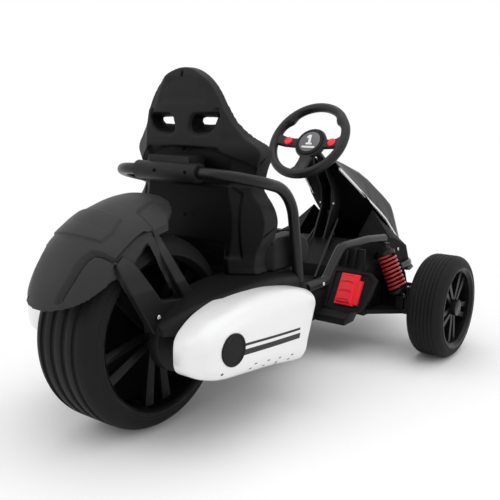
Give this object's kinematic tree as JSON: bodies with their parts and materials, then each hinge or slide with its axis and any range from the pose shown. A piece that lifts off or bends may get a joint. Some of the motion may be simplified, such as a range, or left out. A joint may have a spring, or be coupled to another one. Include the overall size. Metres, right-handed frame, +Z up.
{
  "type": "racing kart",
  "caption": "Ride-on drift kart with one wide driven rear wheel, moulded bucket seat, roll bar, side pods and linked front steering",
  "frame": {"origin": "on the ground below the middle of the kart's length and width", "axes": "+X forward, +Y to the driver's left, +Z up"},
  "size_m": [1.3376, 0.8554, 0.766],
  "materials": {
    "tyre_rubber": "satin black moulded tread",
    "black_plastic": "fine-grained black",
    "rim_plastic": "semi-gloss black",
    "grey_plastic": "dark grey, smooth",
    "white_plastic": "glossy white",
    "red_plastic": "bright red",
    "hub_plastic": "matt black",
    "black_steel": "black powder coat",
    "red_steel": "red coated coil",
    "bright_steel": "zinc plated"
  },
  "bodies": {
    "chassis": {"rear_axle": "bright_steel", "rear_arms": "black_plastic", "rear_fender": "grey_plastic", "seat_base": "black_plastic", "base_front_panel": "white_plastic", "battery": "black_plastic", "drive_motors": "black_plastic", "side_pods": "white_plastic", "pod_discs": "black_plastic", "pod_intakes": "black_plastic", "seat_back": "black_plastic", "seat_pan": "black_plastic", "roll_bar": "black_steel", "roll_bar_clamp": "black_plastic", "floor_tub": "black_plastic", "foot_wells": "black_plastic", "side_rails": "black_steel", "accelerator_pedal": "red_plastic", "front_bulkhead": "black_plastic", "fairing_shell": "black_plastic", "fairing_trim": "white_plastic", "nose_cowl": "black_plastic", "column_bracket": "black_steel", "column_braces": "black_steel", "front_bumper": "black_steel", "lower_arms": "black_plastic", "kingpins": "bright_steel", "shock_dampers": "black_steel", "shock_springs": "red_steel"},
    "rear_wheel": {"rear_tyre": "tyre_rubber", "rear_rim": "rim_plastic"},
    "steering": {"steering_wheel": "black_plastic", "hub_cap": "hub_plastic", "horn_buttons": "red_plastic", "steering_shaft": "black_steel"},
    "drop": {"drop_shaft": "black_steel"},
    "knuckle_r": {"knuckle_right": "black_steel"},
    "knuckle_l": {"knuckle_left": "black_steel"},
    "tie": {"tie_rod": "black_steel"},
    "front_wheel_r": {"front_tyre_right": "tyre_rubber", "front_rim_right": "rim_plastic"},
    "front_wheel_l": {"front_tyre_left": "tyre_rubber", "front_rim_left": "rim_plastic"}
  },
  "joints": [
    {"name": "rear_wheel_spin", "type": "hinge", "parent": "chassis", "child": "rear_wheel", "pos_m": [-0.41618, 0, 0.21], "axis": [0, 1, 0], "continuous": true},
    {"name": "steering_turn", "type": "hinge", "parent": "chassis", "child": "steering", "pos_m": [0.27382, 0, 0.586], "axis": [-0.7997, 0, 0.6004], "range_deg": [-45, 45]},
    {"name": "drop_turn", "type": "hinge", "parent": "chassis", "child": "drop", "pos_m": [0.41503, 0, 0.3], "axis": [0, 0, 1], "range_deg": [-45, 45]},
    {"name": "knuckle_right_turn", "type": "hinge", "parent": "chassis", "child": "knuckle_r", "pos_m": [0.37882, -0.304, 0.141], "axis": [0, 0, 1], "range_deg": [-25.01, 25.01]},
    {"name": "knuckle_left_turn", "type": "hinge", "parent": "chassis", "child": "knuckle_l", "pos_m": [0.37882, 0.304, 0.141], "axis": [0, 0, 1], "range_deg": [-25.01, 25.01]},
    {"name": "tie_rod_swing", "type": "hinge", "parent": "knuckle_r", "child": "tie", "pos_m": [0.46882, -0.304, 0.16], "axis": [0, 0, 1], "range_deg": [-25.01, 25.01]},
    {"name": "front_wheel_right_spin", "type": "hinge", "parent": "knuckle_r", "child": "front_wheel_r", "pos_m": [0.37882, -0.378, 0.141], "axis": [0, 1, 0], "continuous": true},
    {"name": "front_wheel_left_spin", "type": "hinge", "parent": "knuckle_l", "child": "front_wheel_l", "pos_m": [0.37882, 0.378, 0.141], "axis": [0, 1, 0], "continuous": true}
  ],
  "couplings": [
    {"joint": "drop_turn", "follows": "steering_turn", "ratio": 1},
    {"joint": "knuckle_right_turn", "follows": "steering_turn", "ratio": 0.5556},
    {"joint": "knuckle_left_turn", "follows": "steering_turn", "ratio": 0.5556},
    {"joint": "tie_rod_swing", "follows": "steering_turn", "ratio": -0.5556}
  ]
}
